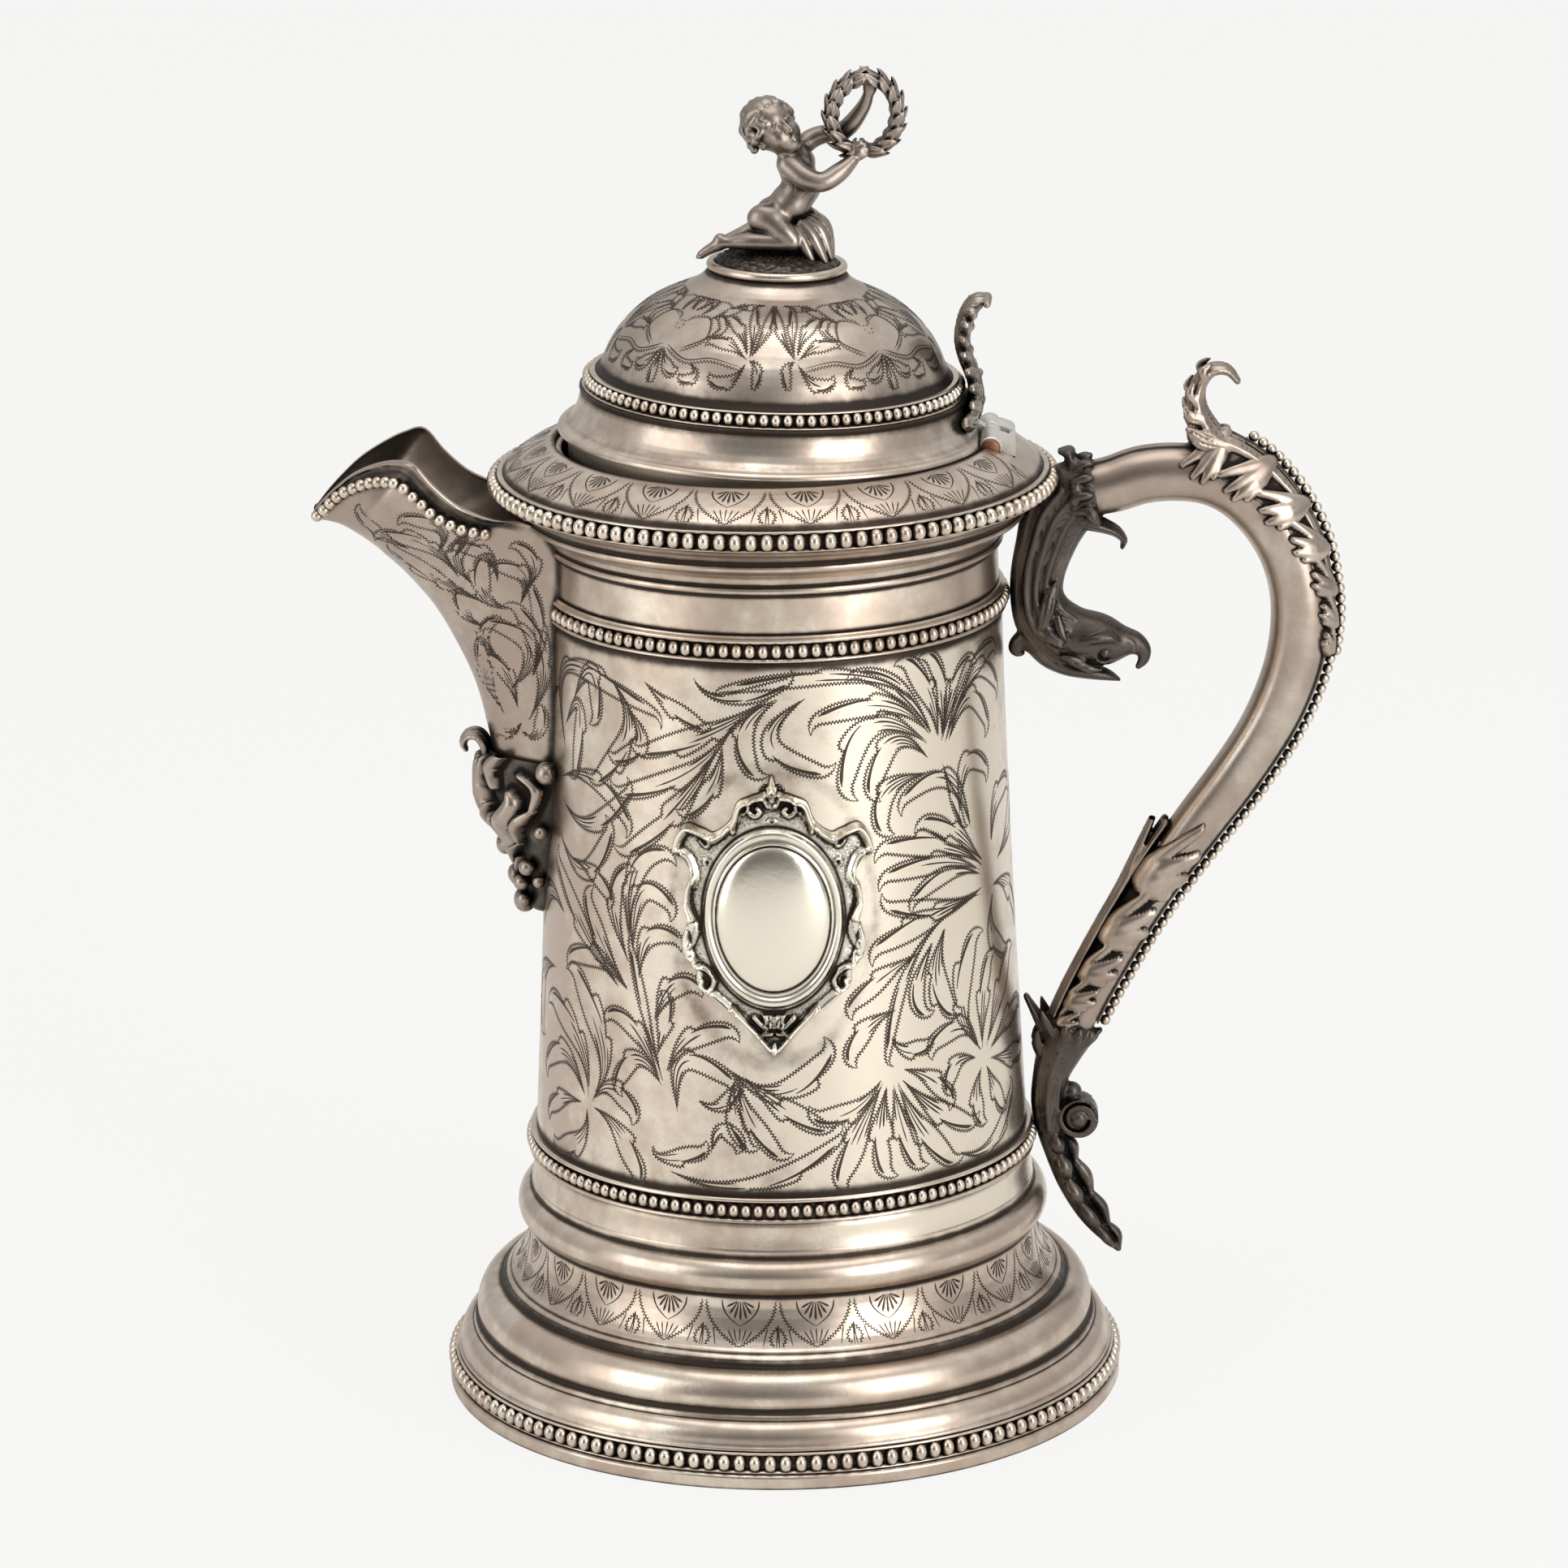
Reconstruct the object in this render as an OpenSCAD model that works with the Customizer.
// Covered serving pitcher in silver plate: spun foot, long tapering barrel,
// beaked pouring spout, tubular handle on cast brackets, hinged domed lid
// with a cast figure and wreath as its finial.
// Frame: origin on the pitcher's axis at table level, +Z up,
// spout towards -X, handle and hinge towards +X, badge towards -Y. Millimetres.

/* [Foot and barrel] */
// outer radius of the foot's rim
foot_r = 83.3; // [82.9:0.1:83.7]
// radius of the barrel just above the lower bead band
barrel_low_r = 60.5; // [60.2:0.1:60.8]
// radius of the barrel just below the upper bead band
barrel_top_r = 55.0; // [54.8:0.1:55.2]
// thickness of the spun sheet
sheet = 1.4; // [1.2:0.1:1.6]

/* [Bead rings] */
// beads round the foot
foot_beads = 140; // [120:1:142]
// beads round the bottom of the barrel
low_beads = 132; // [110:1:136]
// beads round the top of the barrel
top_beads = 112; // [96:1:118]
// beads round the shoulder
rim_beads = 114; // [100:1:116]
// beads round the lid
lid_beads = 100; // [84:1:102]

/* [Spout] */
// half width of the spout at the lip's two peaks
spout_half_w = 19.6; // [18.5:0.1:20.5]
// thickness of the spout's wall
spout_wall = 1.4; // [1.2:0.1:1.7]
// beads along each side of the lip
lip_beads = 20; // [14:1:21]

/* [Handle] */
// radius of the handle's tube at its thickest
handle_r = 7.2; // [6.8:0.1:7.4]
// beads along the back of the handle
spine_beads = 66; // [50:1:68]

/* [Lid] */
// how far the lid stands open at rest, in degrees
lid_ajar = 2.2; // [0:0.1:4]
// radius of the mouth that the lid drops into
mouth_r = 52.4; // [52:0.1:52.8]
// clearance of the lid's rim inside the mouth
lid_fit = 0.7; // [0.5:0.1:0.9]
// radius of the hinge pin
pin_r = 1.5; // [1.3:0.1:1.6]
// running clearance of the lid's knuckle on the pin
pin_fit = 0.05; // [0.04:0.01:0.08]

/* [Badge] */
// half width of the oval on the badge
oval_a = 15.6; // [14.5:0.1:16]
// half height of the oval on the badge
oval_b = 20.6; // [19.5:0.1:21]

/* [Hidden] */
$fn = 96;
silver = [0.74, 0.70, 0.66];
dark = [0.36, 0.34, 0.32];
pale = [0.78, 0.78, 0.76];
copper = [0.55, 0.34, 0.26];

// heights of the joins between the spun pieces
foot_top = 53;
neck_z = 199.6;
rim_z = 228.8;
mouth_z = 238.5;
flange_z = 237.5;
stud_r = 2.0;
lid_rim_r = mouth_r - lid_fit;

// the profiles below are drawn for these radii, and follow when a size is changed
drawn_foot_r = 83.3;
mouth_step = 2.5;
drawn_top_r = 55.0;
drawn_mouth_r = 52.4;
drawn_lid_r = 51.7;
drawn_dome_r = 42.2;
foot_more = foot_r - drawn_foot_r;
top_more = barrel_top_r - drawn_top_r;
mouth_more = mouth_r - drawn_mouth_r;
lid_more = lid_rim_r - drawn_lid_r;
disc_r = 16.9;

// the foot flares from its join with the barrel out to its rim
function flared(P) = [for (p = P) [p[0] + foot_more * (1 - p[1] / foot_top), p[1]]];
// the neck's rings keep to the barrel's top and ease back to the shoulder's rim
function necked(P) = [for (p = P)
  [p[0] + top_more * min(1, max(0, (rim_z - p[1]) / (rim_z - neck_z))), p[1]]];
// the shoulder reaches in from its bead rim to the mouth
function mouthed(P) = [for (p = P)
  [p[0] + mouth_more * max(0, rim_seat - p[0]) / (rim_seat - drawn_mouth_r), p[1]]];
// the lid grows outside the disc of its finial
function lidded(P) = [for (p = P)
  [p[0] + lid_more * min(1, max(0, (p[0] - disc_r) / (drawn_dome_r - disc_r))), p[1]]];

// hinge line
hinge = [mouth_r - 0.1, 0, 238.2];
knuckle_r = 2.7;
hinge_half = 14;
mid_lo = -1.4;
mid_hi = 3.4;
knuckle_gap = 0.3;
open_room = 4.4;

// ---------- curves and skins ----------

function cr_point(a, b, c, d, t) =
  0.5 * (2 * b + (c - a) * t + (2 * a - 5 * b + 4 * c - d) * t * t
  + (3 * b - a - 3 * c + d) * t * t * t);

// a smooth curve through the points of P, n steps for each span
function curve(P, n) = let(m = len(P) - 1)
  [for (i = [0 : m - 1], j = [0 : n - 1])
     cr_point(P[max(i - 1, 0)], P[i], P[i + 1], P[min(i + 2, m)], j / n), P[m]];

function unit(v) = v / max(norm(v), 1e-9);

// n points spaced evenly along the line of points P
function run(P) = [for (i = 0, s = 0; i < len(P);
  s = s + (i < len(P) - 1 ? norm(P[i + 1] - P[i]) : 0), i = i + 1) s];
function even(P, n) = let(R = run(P), L = R[len(P) - 1])
  [for (j = [0 : n - 1]) let(s = L * (j + 0.5) / n)
    [for (c = [0 : 2]) lookup(s, [for (i = [0 : len(P) - 1]) [R[i], P[i][c]]])]];

function flip(P) = [for (i = [len(P) - 1 : -1 : 0]) P[i]];

// one skin over a list of rings with the same number of points; a loop joins its ends
module skin(rings, loop = false) {
  n = len(rings[0]);
  m = len(rings);
  e = (m - 1) * n;
  sides = [for (i = [0 : m - (loop ? 1 : 2)], k = [0 : n - 1])
    let(a = i * n + k, b = i * n + (k + 1) % n, up = i == m - 1 ? -e : n)
      each [[a, b, b + up], [a, b + up, a + up]]];
  lower = [for (k = [0 : n / 2 - 2]) let(a = k, b = k + 1, c = n - 2 - k, d = n - 1 - k)
    each [[a, c, b], [a, d, c]]];
  upper = [for (f = lower) [f[0] + e, f[2] + e, f[1] + e]];
  polyhedron([for (r = rings) each r], loop ? sides : concat(sides, lower, upper), convexity = 6);
}

// sweep in the X-Z plane: C centres [x, z], H half depths, W half widths along Y
function sweep(C, H, W, n = 12) = [for (i = [0 : len(C) - 1])
  let(t = unit(C[min(i + 1, len(C) - 1)] - C[max(i - 1, 0)]))
  [for (k = [0 : n - 1]) let(a = (k + 0.5) * 360 / n)
    [C[i][0] - t[1] * H[i] * cos(a), W[i] * sin(a), C[i][1] + t[0] * H[i] * cos(a)]]];

// the same sweep through smoothed tables of [x, z, half depth, half width]
function bent(T, n, sides = 12) = let(S = curve(T, n))
  sweep([for (s = S) [s[0], s[1]]], [for (s = S) s[2]], [for (s = S) s[3]], sides);

// a long round bud from a to b, r at its middle
module bud(a, b, r, n = 8) {
  d = unit(b - a);
  u = unit(cross(d, abs(d[1]) < 0.9 ? [0, 1, 0] : [1, 0, 0]));
  v = cross(d, u);
  skin([for (i = [0 : 5]) let(s = 0.03 + 0.94 * i / 5, q = r * sin(180 * s) ^ 0.7)
    [for (k = [0 : n - 1]) let(f = 360 * k / n) a + (b - a) * s + q * (cos(f) * u - sin(f) * v)]]);
}

// ---------- profiles of the spun pieces, [radius, height] ----------

seat = 80.2;
foot_outer = flared(concat([[drawn_foot_r, 0], [drawn_foot_r, 3.6], [seat, 3.6], [seat, 8.9], [81.2, 8.9],
  [81.2, 9.6], [80.6, 10.2], [79.8, 11.7], [78.7, 13.6], [77.9, 15], [77.4, 15.2],
  [77.2, 16.6], [76.5, 17], [75.9, 17.4], [75.9, 18.2], [76.2, 18.5]],
  [for (a = [0 : 15 : 90]) [70.9 + 5.4 * cos(a - 4) , 19 + 6.9 * sin(a)]],
  [[70.2, 26], [69.9, 27.1], [69.3, 27.4], [68.6, 28.2], [67.6, 29.1], [67.2, 29.4],
  [65.9, 30.9], [64.7, 33], [63.7, 35.6], [63.0, 38.4], [62.8, 41.4]],
  [for (a = [-60 : 20 : 80]) [61.2 + 4.2 * cos(a), 46 + 4.6 * sin(a)]],
  [[62.0, 51.6], [62.0, foot_top]]));
foot_inner = flared([[58.5, foot_top], [58.5, 51.6], [60.3, 51.2], [61.6, 49.6], [63.2, 48.0],
  [63.8, 46], [63.2, 43.8], [61.4, 42.0], [61.4, 38.4], [62.2, 35], [63.4, 32],
  [65.0, 29.4], [66.4, 27.8], [68.4, 25.6], [69.6, 24.3], [72.4, 22.6], [74.0, 20.8],
  [74.6, 18.8], [74.5, 16.8], [75.8, 15.6], [76.2, 14.4], [77.4, 12.4], [78.8, 9.6],
  [78.8, 2.4], [drawn_foot_r - sheet, 2.4], [drawn_foot_r - sheet, 1.2], [80.4, 1.2],
  [80.4, 0]]);

low_seat = 60.0;
function barrel_r(z) = barrel_top_r
  + (barrel_low_r - barrel_top_r) * (max(196.9 - z, 0) / 130.9) ^ 1.3;
top_seat = barrel_top_r - 1.2;
barrel_outer = concat([[61.9, foot_top], [61.5, 55.5], [61.2, 59.8], [low_seat, 59.8], [low_seat, 66]],
  [for (z = [66 : 13.09 : 196.9]) [barrel_r(z), z]], [[top_seat, 196.9], [top_seat, neck_z]]);
barrel_inner = concat([for (z = [neck_z : -14 : 66]) [min(barrel_r(z), top_seat) - sheet, z]],
  [[low_seat - sheet, 60], [60.4, 55.6], [60.4, foot_top]]);

rim_seat = 65.0;
collar_seat = drawn_top_r - 1.2;
collar_outer = necked([[collar_seat, neck_z], [collar_seat, 203.2], [54.2, 203.2], [53.9, 212.9],
  [54.7, 213.0], [55.2, 213.5], [55.2, 214.4], [54.8, 214.9], [55.1, 215.4], [56.2, 217.4],
  [57.8, 218.9], [59.6, 219.6], [60.4, 219.9], [60.6, 221.0], [60.2, 221.6], [60.8, 222.6],
  [62.4, 223.9], [64.4, 225.0], [65.2, 226.0], [65.2, 226.4], [rim_seat, 226.4],
  [rim_seat, rim_z]]);
collar_inner = necked([[63.6, rim_z], [63.6, 227.1], [62.8, 226.1], [60.6, 224.9], [59.3, 223.6],
  [58.6, 221.0], [56.6, 220.2], [54.8, 218.4], [53.6, 216.2], [52.9, 213.5], [52.6, 204],
  [collar_seat - sheet, 202], [collar_seat - sheet, neck_z]]);

shoulder_outer = mouthed([[rim_seat, rim_z], [rim_seat, 231.2], [64.9, 231.9], [63.6, 233.1], [62, 234.3],
  [60, 235.5], [58, 236.6], [56, 237.5], [54.2, 238.2], [53.2, mouth_z],
  [drawn_mouth_r, mouth_z]]);
shoulder_inner = mouthed([[drawn_mouth_r, 234.4], [53.4, 234.4], [53.4, 236.9], [55.4, 236.2],
  [57.4, 235.3],
  [59.4, 234.2], [61.4, 233.0], [62.6, 231.8], [63.6, 230.6], [63.6, rim_z]]);

// the whole outside of the body, used to seat what is soldered on it
core = concat([[0, -1], [foot_r, -1]], [for (p = foot_outer) if (p[1] > 0 && p[1] < 52.9) p],
  [[61.9, 53], [61.2, 59.7], [63.3, 59.7], [63.3, 66.1]],
  [for (z = [66.1 : 13.07 : 196.8]) [barrel_r(z), z]],
  necked([[57.0, 196.8], [57.0, 203.3], [54.2, 203.3]]),
  [for (p = collar_outer) if (p[1] > 204 && p[1] < 226) p],
  [[65.6, 226.3], [69.05, 226.9], [69.05, 230.7], [65.6, 231.3]],
  [for (p = shoulder_outer) if (p[1] > 231.3) p], [[0, mouth_z]]);

module body_core() { rotate_extrude() polygon(core); }

module spun(outer, inner) { rotate_extrude() polygon(concat(outer, inner)); }

// a ring of n beads of radius b, their centres on radius r at height z
module bead_ring(n, r, z, b) {
  for (i = [0 : n - 1]) rotate(360 * (i + 0.5) / n) translate([r, 0, z]) sphere(b, $fn = 20);
}

// ---------- body ----------

module foot() { color(silver) spun(foot_outer, foot_inner); }

module foot_bead_rim() {
  color(silver) {
    rotate_extrude() polygon(flared([[seat, 3.6], [82.3, 3.6], [82.4, 4.1], [81.6, 4.5],
      [80.9, 4.6], [80.9, 8.0], [81.6, 8.1], [81.9, 8.4], [81.8, 8.9], [seat, 8.9]]));
    bead_ring(foot_beads, flared([[82.55, 6.3]])[0][0], 6.3, 1.6);
  }
}

module barrel() {
  color(silver) difference() {
    spun(barrel_outer, barrel_inner);
    // pouring window behind the spout
    translate([-70, 0, 0]) rotate([0, 90, 0]) {
      translate([-184, 0, 0]) cylinder(r = 11, h = 40);
      translate([-166, 0, 0]) cylinder(r = 11, h = 40);
      translate([-184, -11, 0]) cube([18, 22, 40]);
    }
  }
}

module barrel_floor() {
  color(silver) translate([0, 0, foot_top]) cylinder(r = 60.4, h = 1.6);
}

module lower_bead_band() {
  color(silver) {
    rotate_extrude() polygon([[low_seat, 59.8], [62.1, 59.8], [62.3, 60.2], [62.0, 60.7],
      [61.0, 61.1], [60.6, 61.5], [60.6, 64.3], [61.0, 64.7], [62.0, 65.1], [62.0, 65.5],
      [61.7, 66], [low_seat, 66]]);
    bead_ring(low_beads, 61.95, 62.9, 1.3);
  }
}

module upper_bead_band() {
  color(silver) difference() {
    union() {
      rotate_extrude() polygon(necked([[collar_seat, 196.9], [55.9, 196.9], [56.1, 197.3], [55.6, 197.8],
        [54.8, 198.1], [54.4, 198.5], [54.4, 200.7], [54.8, 201.1], [55.6, 201.5],
        [55.7, 202.2], [55.0, 202.7], [54.9, 203.2], [collar_seat, 203.2]]));
      bead_ring(top_beads, necked([[55.7, neck_z]])[0][0], neck_z, 1.25);
    }
    // left open where the spout is let in
    translate([-70, -18.9, 190]) cube([40, 37.8, 20]);
  }
}

module collar() { color(silver) spun(collar_outer, collar_inner); }

module shoulder_bead_rim() {
  color(silver) {
    rotate_extrude() polygon([[rim_seat, 226.4], [67.0, 226.4], [67.2, 226.8], [66.0, 227.2],
      [65.55, 227.6], [65.55, 230.0], [66.0, 230.4], [66.6, 230.7], [66.4, 231.2],
      [rim_seat, 231.2]]);
    bead_ring(rim_beads, 67.3, rim_z, 1.7);
  }
}

// room for the knuckles at the edge of the mouth
module hinge_notch(x0, x1, z0) {
  translate([x0, -hinge_half - 0.4, z0]) cube([x1 - x0, 2 * hinge_half + 0.8, 20]);
}

module shoulder() {
  color(silver) difference() {
    spun(shoulder_outer, shoulder_inner);
    hinge_notch(40, hinge[0] + knuckle_r + knuckle_gap, 235.1);
  }
}

module mouth_bezel() {
  color(silver) difference() {
    rotate_extrude() polygon([[mouth_r - mouth_step, 234.4], [mouth_r, 234.4],
      [mouth_r, flange_z - 0.1], [mouth_r - mouth_step, flange_z - 0.1]]);
    hinge_notch(40, 60, 235.1);
  }
}

// ---------- spout ----------
// stations: edge x, edge y, edge z, keel x, keel z, roundness of the section

spout_w = spout_half_w / 19.6;
spout_table = [
  [-54.4, 5.5, 129.5, -60.6, 128.4, 2], [-53.2, 9.8, 136.5, -63.0, 135.4, 2],
  [-51.2, 13.2, 145.5, -65.6, 144.0, 2], [-50.0, 15.2, 156.5, -68.2, 155.0, 2],
  [-49.4, 16.2, 168, -70.2, 166.8, 2], [-48.8, 16.8, 180, -73.0, 178.3, 2],
  [-48.4, 17.3, 192, -77.2, 188.1, 2], [-48.0, 17.9, 203.5, -82.0, 196.8, 2],
  [-49.0, 18.3, 213, -86.2, 202.2, 1.95], [-54.0, 18.6, 219.6, -89.8, 206.2, 1.9],
  [-60.0, 18.7, 222.3, -92.2, 208.5, 1.9], [-66.0, 18.8, 222.9, -94.2, 210.4, 1.9],
  [-70.6, 18.9, 224.2, -95.8, 211.9, 1.85], [-75.4, 19.2, 226.7, -97.4, 213.2, 1.85],
  [-80.4, 19.5, 231.2, -99.2, 214.5, 1.8], [-85.2, 19.6, 236.7, -101.2, 215.8, 1.8],
  [-90.0, 15.8, 236.7, -103.2, 216.9, 1.75], [-95.0, 12.0, 235.0, -105.0, 217.7, 1.7],
  [-100.0, 8.9, 232.3, -106.8, 218.2, 1.7], [-104.0, 6.5, 229.0, -108.2, 218.5, 1.7],
  [-107.8, 4.2, 225.2, -109.6, 218.6, 1.7], [-110.6, 2.3, 221.8, -111.1, 218.6, 1.7]];

// point of a section at angle f, 0 at the near edge and 180 at the far edge, moved in by t
function spout_point(s, f, t) = let(
  e = [s[0], 0, s[2]],
  k = [s[3], 0, s[4]],
  reach = norm(k - e),
  w = max(s[1] * spout_w - t, 0.5),
  d = (k - e) * max(reach - t * 1.1, 0.4) / reach,
  p = 2 / s[5])
  e + [0, -sign(cos(f)) * w * abs(cos(f)) ^ p, 0] + d * sin(f) ^ p;

function spout_loop(s, t0, t1, n = 12) = concat(
  [for (i = [0 : n]) spout_point(s, 180 * i / n, t0)],
  [for (i = [n : -1 : 0]) spout_point(s, 180 * i / n, t1)]);

module spout_solid(grow = 0) {
  skin([for (s = spout_table) [for (i = [0 : 13]) spout_point(s, i * 180 / 13, -grow)]]);
}

module spout_shell() {
  color(silver) difference() {
    translate([-top_more, 0, 0]) skin([for (s = spout_table) spout_loop(s, 0, spout_wall)]);
    body_core();
  }
}

// bead centres a little below the lip, on the outside
lip_line = [for (i = [10 : len(spout_table) - 1]) let(s = spout_table[i],
  a = i < 20 ? 13 + max(0, i - 14) * 1.6 : 30)
  spout_point(s, a, -1.55)];
lip_fine = curve(lip_line, 12);

module spout_lip_beads() {
  color(silver) for (side = [1, -1], p = even(lip_fine, lip_beads))
    translate([p[0] - top_more, side * p[1], p[2]]) sphere(1.4, $fn = 16);
}

// cast leaf that hides the foot of the spout
drop_table = [
  [-54.0, 3.0, 119.8, -60.0, 120.2, 2], [-53.4, 8.0, 121.6, -62.6, 122.4, 2],
  [-53.0, 10.6, 124.8, -62.2, 125.2, 2], [-52.6, 12.2, 128.4, -63.4, 128.6, 2],
  [-52.0, 13.6, 132.0, -63.4, 131.8, 2], [-51.6, 15.0, 136.6, -65.6, 136.8, 2],
  [-51.0, 16.4, 141.0, -65.4, 140.4, 2], [-50.0, 17.8, 145.0, -69.8, 145.2, 2],
  [-49.6, 18.0, 150.0, -70.8, 150.0, 2], [-49.4, 17.6, 155.0, -71.2, 155.0, 2],
  [-49.4, 17.0, 159.0, -71.4, 159.4, 2], [-49.4, 16.9, 161.0, -71.0, 162.4, 2]];

module spout_leaf_drop() {
  color(silver) difference() {
    translate([-top_more, 0, 0]) {
      skin([for (s = drop_table) [for (i = [0 : 15]) spout_point(s, i * 12, 0)]]);
      skin(bent([[-69.4, 157, 1.6, 6], [-70.6, 162, 1.8, 5.4], [-73, 164.6, 1.7, 4.6],
        [-75.6, 163.4, 1.6, 3.8], [-75.9, 160.8, 1, 2.4]], 3, 10));
      for (side = [1, -1]) {
        translate([-57.2, side * 17.0, 161.4]) sphere(2.9, $fn = 24);
        bud([-70.6, side * 5, 156], [-67.4, side * 5, 145], 2.4);
        bud([-67.5, side * 9.5, 158], [-61, side * 13.5, 147], 2.6);
        bud([-69.4, side * 4, 147.5], [-66, side * 4, 142], 2.2);
        bud([-64, side * 10.8, 146.5], [-58.5, side * 15.4, 142], 2.0);
        translate([-62.6, side * 4.6, 136.6]) sphere(2.0, $fn = 20);
        translate([-61.6, side * 2.6, 129.2]) sphere(1.9, $fn = 20);
      }
      translate([-61.2, 0, 123.2]) sphere(2.6, $fn = 24);
    }
    translate([-top_more, 0, 0]) spout_solid(0.08);
    body_core();
  }
}

// ---------- badge on the front ----------

badge_side = [[3.4, 27.6], [7.4, 26.0], [10.6, 22.4], [14.0, 21.0], [17.0, 22.0],
  [21.6, 22.2], [24.6, 18.0], [22.6, 14.6], [20.2, 12.6], [19.0, 8.4], [21.4, 7.4],
  [22.6, 3.0], [21.8, -2.0], [22.8, -6.2], [21.6, -11.0], [18.0, -13.2], [18.6, -17.4],
  [14.6, -20.8], [11.0, -23.0], [7.4, -26.0], [4.6, -30.0], [1.4, -32.2]];
badge_outline = concat([for (p = curve(badge_side, 3)) p],
  flip([for (p = curve(badge_side, 3)) [-p[0], p[1]]]));
badge_mid = 134.8;

// a plate of thickness t0 to t1 over the barrel, cut to the 2D shape
module on_barrel(t0, t1) {
  intersection() {
    translate([0, 0, badge_mid]) rotate([90, 0, 0]) linear_extrude(height = 80) children();
    rotate_extrude() polygon(concat([for (z = [95 : 10 : 175]) [barrel_r(z) + t0, z]],
      [for (z = [175 : -10 : 95]) [barrel_r(z) + t1, z]]));
  }
}

module oval(grow) {
  polygon([for (a = [0 : 7.5 : 352.5]) [(oval_a + grow) * cos(a), (oval_b + grow) * sin(a)]]);
}

module badge_plate() { color(silver) on_barrel(0.08, 1.0) polygon(badge_outline); }

module badge_ring() {
  color(silver) on_barrel(1.0, 2.4) difference() {
    oval(0.9);
    oval(-1.1);
  }
}

module badge_boss() { color(silver) on_barrel(1.0, 2.2) oval(-1.3); }

// ---------- handle ----------
// centre line of the tube [x, z, radius as a share of handle_r]

handle_table = [
  [76.0, 224.9, 0.93], [82.0, 226.1, 0.98], [89.0, 228.3, 1], [97.0, 228.9, 1],
  [105.0, 227.8, 1], [112.2, 224.2, 1], [118.8, 217.6, 1], [123.8, 209.2, 1],
  [126.4, 199.8, 1], [126.7, 190.4, 0.99], [125.0, 180.6, 0.96], [121.7, 171.2, 0.93],
  [117.2, 162.4, 0.89], [110.7, 152.4, 0.87], [102.5, 141.2, 0.85], [94.0, 129.2, 0.8],
  [86.4, 117.2, 0.76], [80.0, 105.8, 0.73], [75.2, 96.6, 0.71], [71.6, 88.6, 0.7]];
handle_path = curve(handle_table, 2);
handle_n = len(handle_path) - 1;
tube_sides = 18;

function tube_dir(i) = let(p = handle_path[max(i - 1, 0)], q = handle_path[min(i + 1, handle_n)])
  unit([q[0] - p[0], q[1] - p[1]]);
function tube_at(i, a, r) = let(p = handle_path[i], t = tube_dir(i))
  [p[0] - t[1] * r * cos(a), r * sin(a), p[1] + t[0] * r * cos(a)];
function tube_r(i) = handle_path[i][2] * handle_r;

module handle_tube() {
  color(silver) skin([for (i = [0 : handle_n]) [for (k = [0 : tube_sides - 1])
    tube_at(i, k * 360 / tube_sides, tube_r(i))]]);
}

// how far the bead line rides above the tube, where the top leaf lifts it
top_leaf_end = 19;
function lift(i) = i < 8 ? 4.8 : i > top_leaf_end ? 0 : max(1, 4.8 * (1 - (i - 8) / 12) ^ 1.5);
spine_first = 9;
spine_bead = 1.3;

module handle_bead_spine() {
  line = [for (i = [spine_first : handle_n - 1]) tube_at(i, 0, tube_r(i) + 1.94 + lift(i))];
  fine = curve(line, 4);
  color(silver) {
    skin([for (i = [spine_first : handle_n - 1]) let(r = tube_r(i) + lift(i) + 0.3)
      [for (q = [[-11, 0.3], [0, 0.3], [11, 0.3], [13, 0], [0, 0], [-13, 0]])
        tube_at(i, q[0], r + q[1])]]);
    for (p = even(fine, spine_beads)) translate(p) sphere(spine_bead, $fn = 16);
  }
}

// a leaf that hugs the tube: c middle angle, e half spread, up ridge, t thickness
function hug(i, c, e, t, up, n = 8) = let(r = tube_r(i) + 0.15) concat(
  [for (k = [0 : n]) let(f = -1 + 2 * k / n)
    tube_at(i, c + e * f, r + (abs(f) == 1 ? 0.25 : t) + up * max(0, 1 - abs(f) * 1.7) ^ 1.2)],
  [for (k = [n : -1 : 0]) let(f = -1 + 2 * k / n) tube_at(i, c + e * f, r)]);

module handle_top_leaf() {
  color(silver) {
    skin([for (i = [7 : top_leaf_end]) let(s = (i - 7) / (top_leaf_end - 7))
      hug(i, 0, (78 - 50 * s ^ 1.6) * (0.88 + 0.12 * cos(s * 1440)), 1.0,
        max(0, lift(i) - 1.0))]);
    skin(bent([[107.5, 236.5, 2.6, 5.5], [104.0, 240.5, 3.2, 5.6], [102.2, 245.5, 2.8, 5.0],
      [102.4, 250.6, 2.4, 4.4], [105.4, 254.0, 2.0, 3.8], [109.4, 253.6, 1.7, 3.0],
      [111.4, 251.2, 0.9, 2.0]], 3, 10));
    for (side = [1, -1]) {
      bud([103, side * 4.6, 241], [98.8, side * 6.6, 243.0], 1.9);
      bud([104, side * 5.6, 235.4], [111, side * 8.3, 231.4], 1.6);
    }
  }
}

module handle_lower_leaf() {
  color(silver) {
    skin([for (i = [28 : 37]) let(s = (i - 28) / 9)
      hug(i, 180, (96 - 46 * s) * (0.9 + 0.1 * cos(s * 1440)), 1.0, 0.9)]);
    for (side = [1, -1]) {
      bud([88.5, side * 4.0, 131.0], [84.3, side * 2.6, 138.6], 1.5);
    }
  }
}

// ---------- brackets ----------

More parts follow.
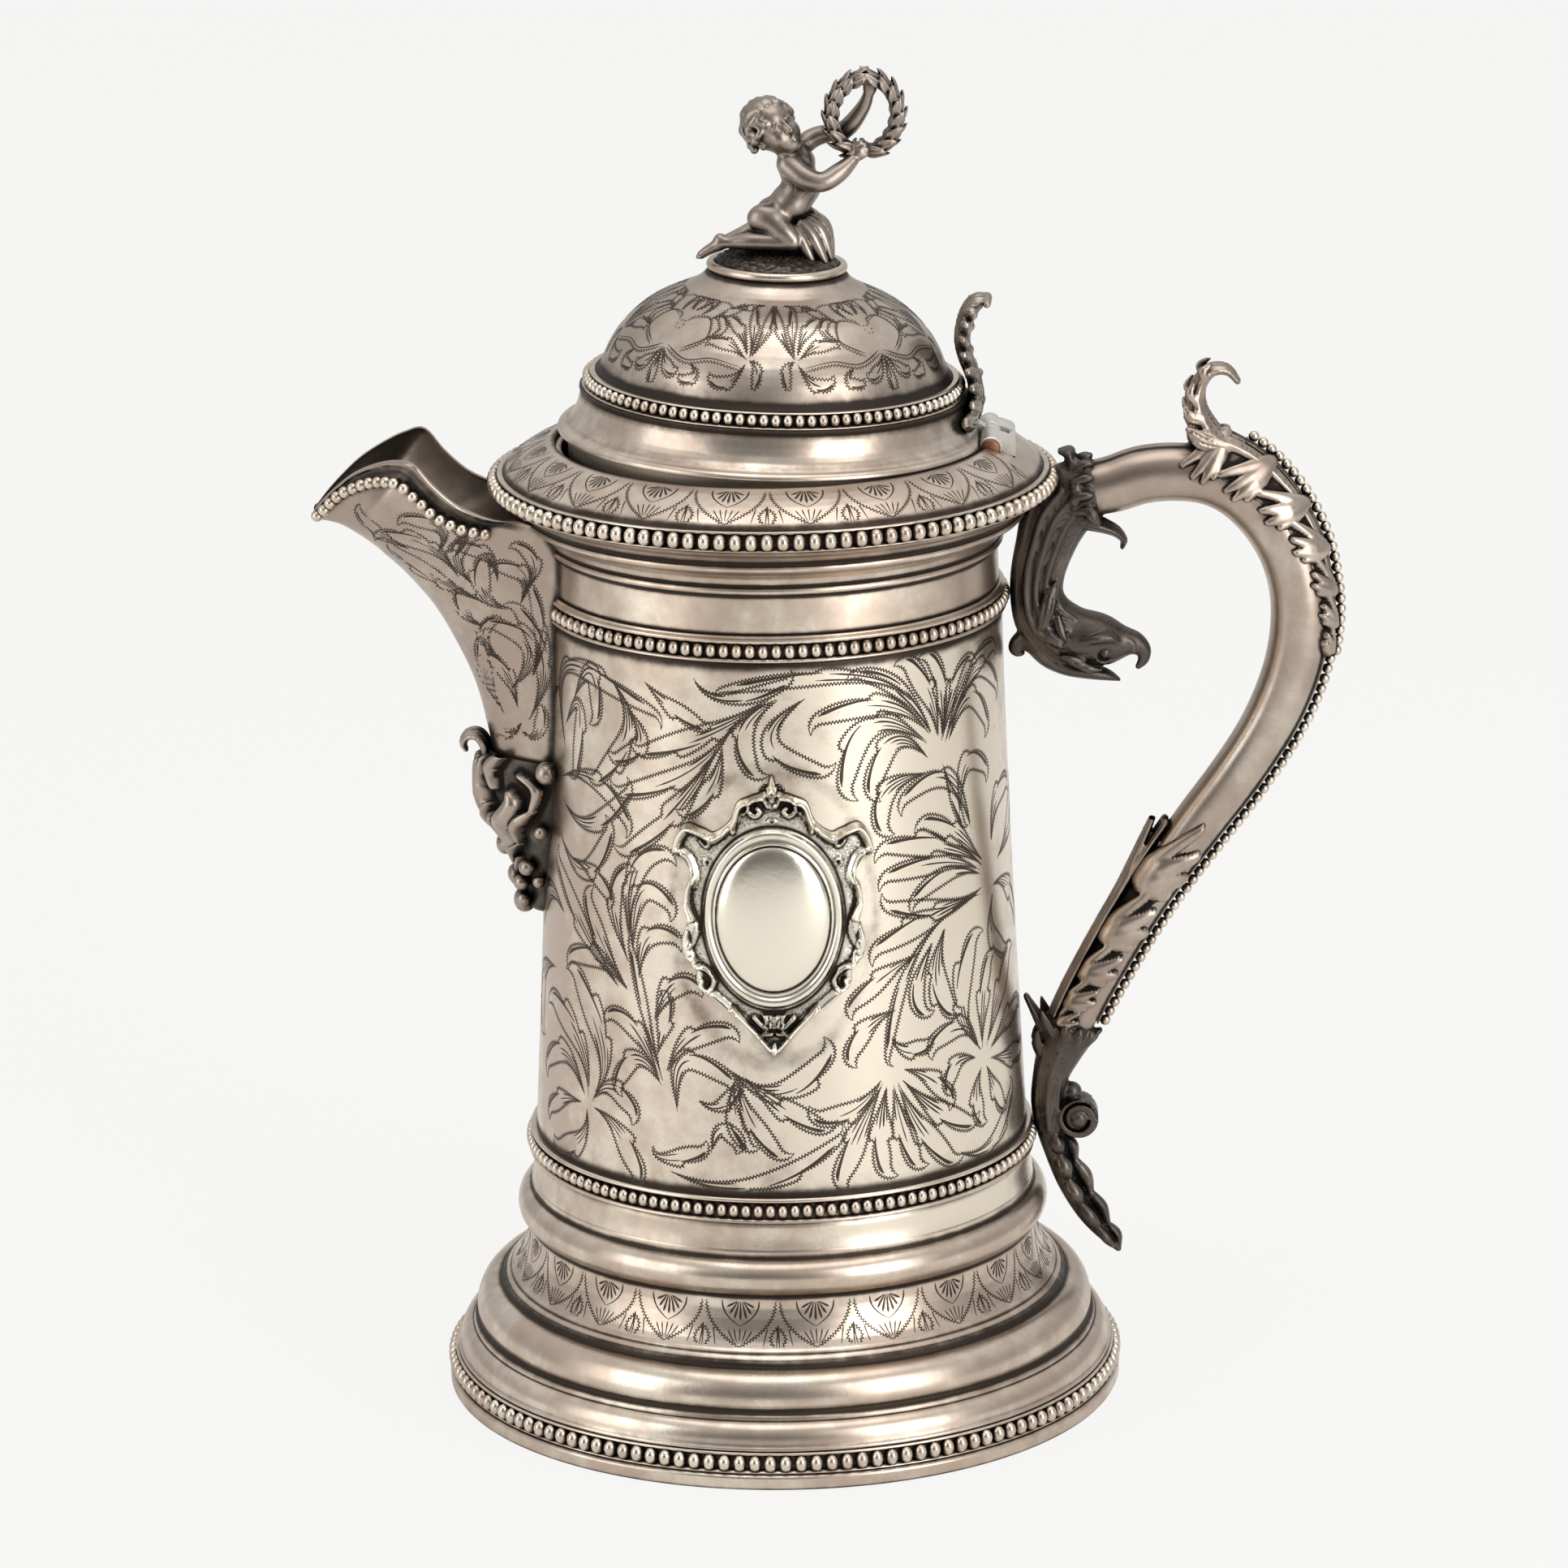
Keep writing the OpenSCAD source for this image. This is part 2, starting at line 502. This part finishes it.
module upper_bracket() {
  color(dark) difference() {
    union() {
      // strap from the tube's socket round to the bird's throat
      skin(bent([[75.7, 224.8, 7.4, 7.0], [71.6, 223.0, 8.6, 6.6], [67.9, 218.0, 8.4, 5.8],
        [65.4, 211.0, 7.3, 5.2], [63.7, 204.5, 6.7, 4.9], [63.4, 198.5, 6.6, 4.9],
        [65.3, 192.8, 7.6, 5.4], [69.8, 188.4, 8.4, 6.0], [75.6, 187.0, 7.9, 6.4],
        [80.6, 187.0, 6.3, 5.6], [84.2, 187.2, 3.8, 3.8]], 2, 14));
      // beak, upper and lower
      skin(bent([[82.4, 187.2, 4.0, 3.8], [86.6, 187.0, 3.0, 2.8], [89.4, 185.0, 2.4, 2.0],
        [89.2, 182.0, 1.6, 1.3], [87.4, 180.2, 0.5, 0.6]], 2, 8));
      skin(bent([[76.0, 182.4, 2.6, 4.2], [80.0, 180.2, 1.6, 2.8], [83.4, 177.8, 0.5, 0.9]], 2, 8));
      // curled lugs
      skin(bent([[64.0, 186.4, 2.6, 3.6], [60.6, 185.4, 2.2, 3.2], [58.6, 183.6, 1.2, 2.4]], 2, 8));
      skin(bent([[73.0, 228.0, 2.4, 5.0], [71.9, 231.6, 1.8, 4.2], [70.3, 234.0, 1.2, 3.2],
        [69.0, 233.7, 0.6, 2.0]], 2, 8));
      skin(bent([[72.0, 219.4, 2.8, 4.8], [75.6, 217.4, 2.4, 4.8], [79.0, 215.6, 1.9, 4.4],
        [81.8, 213.8, 1.5, 3.4], [83.9, 211.2, 0.7, 2.0]], 2, 8));
      for (side = [1, -1]) {
        bud([73.4, side * 6.4, 229.5], [72.8, side * 7.4, 219.0], 1.5);
        bud([75.6, side * 6.6, 221.6], [77.6, side * 6.6, 217.0], 1.3);
        bud([67.6, side * 4.6, 203.0], [66.4, side * 5.6, 192.0], 1.6);
        bud([76.8, side * 5.6, 189.4], [82.6, side * 4.6, 188.4], 1.4);
      }
    }
    body_core();
    // flat seat for the end of the tube
    translate([76.0, 0, 224.9]) rotate([0, -11, 0]) translate([-0.05, -20, -20]) cube([20, 40, 40]);
  }
}

module lower_bracket() {
  color(dark) difference() {
    union() {
      skin(bent([[71.9, 89.2, 7.4, 6.6], [69.0, 83.4, 5.9, 5.6], [66.6, 76.6, 4.6, 4.6],
        [65.9, 69.4, 4.4, 4.3], [66.4, 63.0, 3.8, 4.0], [67.9, 56.2, 3.1, 3.2],
        [70.0, 50.2, 3.0, 3.0], [72.1, 45.8, 3.0, 3.0], [74.9, 41.0, 2.9, 2.9],
        [77.9, 37.0, 2.6, 2.6], [80.8, 33.7, 2.0, 2.0], [83.2, 30.8, 1.0, 1.1]], 2, 12));
      // volute at the outer side of the socket
      translate([73.5, 0, 66.0]) rotate([90, 0, 0]) {
        cylinder(r = 4.9, h = 8.6, center = true);
        cylinder(r = 3.4, h = 9.8, center = true);
      }
      bud([62.6, 0, 90], [60.4, 0, 97.4], 2.2, 10);
      bud([75.6, 0, 87.6], [79.8, 0, 87.8], 1.8);
      for (side = [1, -1]) {
        bud([66.4, side * 4.6, 90], [64.2, side * 6.6, 95.0], 1.7);
        bud([66.2, side * 3.0, 62.4], [68.6, side * 3.6, 57.4], 2.1);
        bud([68.2, side * 3.0, 55.6], [70.8, side * 3.6, 50.4], 2.2);
        bud([70.6, side * 3.0, 48.8], [73.8, side * 3.4, 43.8], 2.1);
        bud([74.2, side * 2.8, 42.4], [78.0, side * 3.0, 37.6], 1.9);
        bud([78.0, side * 2.0, 36.0], [82.0, side * 2.0, 31.8], 1.4);
      }
      bud([69.6, 0, 60.4], [72.2, 0, 52.6], 1.9);
      bud([72.6, 0, 52.6], [75.8, 0, 44.8], 1.9);
      bud([76.4, 0, 44.0], [80.2, 0, 36.8], 1.8);
    }
    body_core();
    translate([71.6, 0, 88.6]) rotate([0, 24.6, 0]) translate([-20, -20, -0.05]) cube([40, 40, 20]);
  }
}

// ---------- hinge ----------

module knuckle(y0, y1, r) {
  translate([hinge[0], y1, hinge[2]]) rotate([90, 0, 0]) cylinder(r = r, h = y1 - y0);
}

module body_hinge_leaf() {
  color(pale) difference() {
    union() {
      translate([mouth_more, 12.8, 0]) rotate([90, 0, 0]) linear_extrude(height = 25.6)
        polygon([[54.0, 236], [58.4, 236], [58.4, 238.2], [57.9, 238.8], [54.0, 240.2]]);
      knuckle(-hinge_half + 0.8, mid_lo, knuckle_r);
      knuckle(mid_hi, hinge_half - 0.8, knuckle_r);
    }
    rotate_extrude() polygon([for (p = core) if (p[1] > 230 || p[0] == 0) p]);
    knuckle(-20, 20, pin_r);
    knuckle(mid_lo - knuckle_gap, mid_hi + knuckle_gap, knuckle_r + knuckle_gap);
    // notch that the lid's middle knuckle and its tab swing back into
    translate([hinge[0], mid_lo - knuckle_gap, hinge[2] + 0.5])
      cube([open_room, mid_hi - mid_lo + 2 * knuckle_gap, 6]);
  }
}

module hinge_pin() {
  color(copper) {
    knuckle(-hinge_half, hinge_half, pin_r);
    knuckle(-hinge_half, -hinge_half + 0.8, 2.35);
    knuckle(hinge_half - 0.8, hinge_half, 2.35);
  }
}

// ---------- lid ----------

// everything on the lid is drawn shut and swung open by lid_ajar
module on_lid() {
  translate(hinge) rotate([0, lid_ajar, 0]) translate(-hinge) children();
}

flange_outer = lidded([[drawn_lid_r, flange_z], [drawn_lid_r + 0.1, 238.2],
  [drawn_lid_r - 0.1, 238.8],
  [50.6, 239.4], [49.2, 240.2], [48.0, 241.6], [47.1, 243.6], [46.5, 246.0], [46.3, 247.8],
  [46.7, 248.0], [46.7, 248.6]]);
flange_inner = lidded([[drawn_dome_r, 248.6], [drawn_dome_r, 247.4], [45.1, 247.2], [45.3, 245.6],
  [45.9, 243.2],
  [46.8, 240.8], [47.4, 239.6], [47.7, flange_z]]);

module lid_flange() {
  color(silver) on_lid() difference() {
    spun(flange_outer, flange_inner);
    hinge_notch(hinge[0] - knuckle_r - knuckle_gap - 0.3, 60, 230);
  }
}

module lid_bezel() {
  color(silver) on_lid() rotate_extrude()
    polygon(lidded([[47.9, 231.5], [49.1, 231.5], [49.1, flange_z], [47.9, flange_z]]));
}

module lid_bead_ring() {
  color(silver) on_lid() {
    rotate_extrude() polygon(lidded([[42.9, 248.6], [45.9, 248.6], [46.0, 248.9], [45.2, 249.1],
      [43.8, 249.2], [43.4, 249.6], [43.4, 251.4], [43.8, 251.9], [44.4, 252.1],
      [44.2, 252.4], [42.9, 252.4]]));
    bead_ring(lid_beads, 44.75 + lid_more, 250.5, 1.3);
  }
}

dome_curve = [[42.9, 252.4], [41.9, 253.6], [41.0, 255.6], [40, 257.9], [39, 259.9], [38, 261.5],
  [36, 264.1], [34, 266.2], [32, 267.9], [30, 269.2], [28, 270.4], [26, 271.3], [24, 272.2],
  [22, 273.1], [20, 274.1], [18.4, 275.2], [17.2, 276.4], [16.4, 277.4]];

module lid_dome() {
  color(silver) on_lid() difference() {
    rotate_extrude() polygon(lidded(concat([[42.9, 248.6]], dome_curve, [[0, 277.4], [0, 276.0],
      [14.6, 276.0], [16.2, 274.4], [18.8, 272.9], [22.6, 271.2], [27.2, 269.2], [31.0, 266.8],
      [34.4, 263.6], [36.9, 260.2], [38.8, 256.6], [40.2, 253.2], [41.5, 251.4],
      [41.5, 248.6]])));
    translate([0, 0, 270]) cylinder(r = stud_r, h = 10);
  }
}

module lid_hinge_leaf() {
  color(pale) on_lid() difference() {
    union() {
      translate([lid_more, 12.5, 0]) rotate([90, 0, 0]) linear_extrude(height = 25)
        polygon([[42, 238], [48.6, 238.6], [49.0, 240.4], [49.2, 241.6], [48.2, 243.6],
          [46.8, 244.4], [42, 244.4]]);
      translate([mouth_more, mid_hi - knuckle_gap, 0]) rotate([90, 0, 0])
        linear_extrude(height = mid_hi - mid_lo - 2 * knuckle_gap)
        polygon([[45, 238], [50.4, 237.6], [51.6, 240.7], [48.6, 242]]);
      knuckle(mid_lo + knuckle_gap, mid_hi - knuckle_gap, knuckle_r);
    }
    rotate_extrude() polygon(concat([[0, 230], [lid_rim_r, 230]], flange_outer, [[0, 248.6]]));
    knuckle(-20, 20, pin_r + pin_fit);
  }
}

// cast leaf for the thumb; each station: height, middle x, half width, half thickness
thumb_table = [
  [241.6, 47.7, 19.0, 1.3], [244.0, 47.8, 15.5, 1.5], [247.0, 48.4, 11.0, 1.6],
  [249.5, 48.4, 12.4, 1.7], [251.6, 47.9, 10.6, 1.6], [253.6, 47.2, 11.6, 1.6],
  [256.0, 46.2, 8.6, 1.5], [259.0, 45.2, 7.6, 1.5], [262.0, 44.7, 8.6, 1.7],
  [264.0, 44.8, 7.8, 1.6], [266.4, 45.2, 9.2, 1.8], [268.4, 46.0, 8.2, 1.7],
  [270.6, 47.2, 9.0, 1.9], [272.2, 48.8, 7.6, 1.7], [271.8, 50.6, 5.0, 1.0]];

function thumb_ring(i) = let(s = thumb_table[i],
  p = thumb_table[max(i - 1, 0)],
  q = thumb_table[min(i + 1, len(thumb_table) - 1)],
  t = unit([q[1] - p[1], q[0] - p[0]]))
  [for (k = [0 : 15]) let(a = (k + 0.5) * 22.5, y = s[2] * cos(a), o = s[3] * sin(a) / 0.9)
    [s[1] - max(0, 244 - s[0]) * 0.2 - (48.6 - sqrt(48.6 * 48.6 - y * y)) + t[1] * o,
      y, s[0] - t[0] * o]];

module thumbpiece() {
  color(silver) on_lid() difference() {
    translate([lid_more, 0, 0]) skin([for (i = [0 : len(thumb_table) - 1]) thumb_ring(i)]);
    rotate_extrude() polygon(concat([[0, 230], [60, 230], [60, 238], [lid_rim_r, 238]],
      [for (p = flange_outer) if (p[1] > 238.5) p],
      lidded([[46.7, 249.4], [46.3, 251.9], [45.1, 252.6], [43.0, 253.2], [0, 253.2]])));
    translate([lid_more, 12.6, 0]) rotate([90, 0, 0]) linear_extrude(height = 25.2)
      polygon([[42, 236], [58, 236], [58, 241], [49.3, 241.6], [48.3, 243.7], [46.8, 244.5],
        [42, 244.5]]);
  }
}

// ---------- finial ----------

disc_z = 277.4;

module finial_disc() {
  color(silver) on_lid() difference() {
    rotate_extrude() polygon([[0, disc_z], [16.2, disc_z], [16.8, 277.9], [disc_r, 278.6],
      [16.6, 279.3], [15.9, 279.6], [15.2, 279.3], [14.9, 278.8], [0, 278.8]]);
    translate([0, 0, 270]) cylinder(r = stud_r, h = 20);
  }
}

module finial_mound() {
  color(dark) on_lid() difference() {
    rotate_extrude() polygon(concat([[0, 278.8], [14.8, 278.8], [14.6, 279.6], [13.6, 280.4],
      [11.6, 281.2], [8.6, 282.0], [5, 282.5], [0, 282.7]]));
    translate([0, 0, 270]) cylinder(r = stud_r, h = 11);
  }
}

module finial_stud() {
  color(copper) on_lid() translate([0, 0, 271.2]) cylinder(r = stud_r, h = 9.8);
}

module finial_nut() {
  color(pale) on_lid() difference() {
    translate([0, 0, 272.8]) cylinder(r = 4.6, h = 3.2, $fn = 6);
    translate([0, 0, 270]) cylinder(r = stud_r, h = 10);
  }
}

// the wreath is an upright oval hoop with a bumpy, leafy section
wreath_at = [19.8, -0.5, 315.4];
wreath_w = 7.5;
wreath_h = 8.4;
wreath_turn = 12;

module wreath_hoop(grow = 0) {
  translate(wreath_at) rotate(wreath_turn) skin([for (i = [0 : 39]) let(a = i * 9,
    c = [wreath_w * cos(a), 0, wreath_h * sin(a)],
    o = unit([wreath_h * cos(a), 0, wreath_w * sin(a)]),
    r = 1.35 + grow + (i % 2) * 0.4)
    [for (k = [0 : 7]) let(f = k * 45)
      c + r * (cos(f) * o - (0.9 + (i % 4) * 0.08) * sin(f) * [0, 1, 0])]], loop = true);
}

module wreath_band(grow = 0) {
  limb([[14.6, 2.6, 308.9, 1.3 + grow], [17.0, 3.0, 313.6, 1.7 + grow],
    [19.6, 2.4, 318.6, 1.7 + grow], [20.8, 0.4, 322.4, 1.2 + grow]], 2, 8);
}

// limb through 3D points [x, y, z, radius]
module limb(T, n = 3, sides = 10) {
  S = curve(T, n);
  m = len(S) - 1;
  skin([for (i = [0 : m]) let(
    a = S[max(i - 1, 0)],
    b = S[min(i + 1, m)],
    d = unit([b[0] - a[0], b[1] - a[1], b[2] - a[2]]),
    u = unit(cross(d, [0, 1, 0.2])),
    v = cross(d, u))
    [for (k = [0 : sides - 1]) let(f = 360 * k / sides)
      [S[i][0], S[i][1], S[i][2]] + S[i][3] * (cos(f) * u - sin(f) * v)]]);
}

module figure() {
  color(silver) on_lid() difference() {
    union() {
      // trunk from the seat to the neck
      limb([[-3.4, -0.6, 288.6, 3.4], [0.6, 0, 290.6, 5.4], [3.6, 0, 294.4, 5.5],
        [5.2, 0, 298.6, 4.5], [4.4, 0, 303.0, 4.5], [2.6, 0.4, 306.4, 2.9],
        [0.2, 0.4, 309.6, 2.4]], 2, 12);
      // head and hair
      translate([-1.8, 0, 312.6]) sphere(6.0, $fn = 24);
      translate([-5.0, -1.6, 313.4]) sphere(3.8, $fn = 20);
      translate([-3.4, 1.8, 315.4]) sphere(3.8, $fn = 20);
      // near arm and far arm, reaching for the wreath
      limb([[2.2, -3.4, 303.4, 2.4], [6.2, -6.0, 300.6, 2.3], [10.2, -6.4, 299.6, 2.2],
        [14.4, -4.8, 301.8, 1.9], [18.0, -3.0, 304.8, 1.6], [19.2, -2.4, 307.4, 1.8]], 2, 10);
      limb([[3.6, 3.0, 305.4, 2.6], [7.4, 4.6, 308.6, 2.5], [11.2, 4.0, 310.0, 2.1],
        [13.4, 2.8, 310.6, 1.8]], 2, 10);
      // near leg folded under, its foot behind
      limb([[-3.0, -2.6, 289.0, 3.6], [0.0, -4.4, 286.8, 3.2], [2.8, -5.2, 284.6, 2.5]], 2, 10);
      limb([[3.0, -5.4, 284.4, 2.3], [-3.6, -5.4, 284.2, 2.1], [-9.4, -4.8, 284.4, 1.8],
        [-13.4, -4.2, 284.6, 2.0], [-17.0, -4.0, 282.2, 1.5], [-19.0, -4.0, 280.4, 1.1]], 2, 10);
      // far leg with its knee raised
      limb([[1.6, 2.6, 289.6, 3.8], [5.6, 3.6, 288.6, 3.2], [9.0, 3.0, 286.6, 2.7],
        [9.6, 2.0, 283.6, 2.0], [9.8, 1.4, 281.4, 1.8]], 2, 10);
      // folds of cloth over the lap
      limb([[3.0, -1.6, 289.6, 2.2], [6.0, -2.6, 285.8, 2.6], [8.6, -2.4, 281.4, 2.2]], 2, 8);
    }
    rotate_extrude() polygon([[0, 270], [20, 270], [20, 278], [14.6, 279.6], [13.6, 280.4],
      [11.6, 281.2], [8.6, 282.0], [5, 282.5], [0, 282.7]]);
    wreath_hoop(0.05);
    wreath_band(0.05);
  }
}

module wreath() {
  color(silver) on_lid() {
    wreath_hoop();
    wreath_band();
  }
}

foot();
foot_bead_rim();
barrel();
barrel_floor();
lower_bead_band();
upper_bead_band();
collar();
shoulder_bead_rim();
shoulder();
mouth_bezel();
spout_shell();
spout_lip_beads();
spout_leaf_drop();
badge_plate();
badge_ring();
badge_boss();
handle_tube();
handle_bead_spine();
handle_top_leaf();
handle_lower_leaf();
upper_bracket();
lower_bracket();
body_hinge_leaf();
hinge_pin();
lid_flange();
lid_bezel();
lid_bead_ring();
lid_dome();
lid_hinge_leaf();
thumbpiece();
finial_disc();
finial_mound();
finial_stud();
finial_nut();
figure();
wreath();
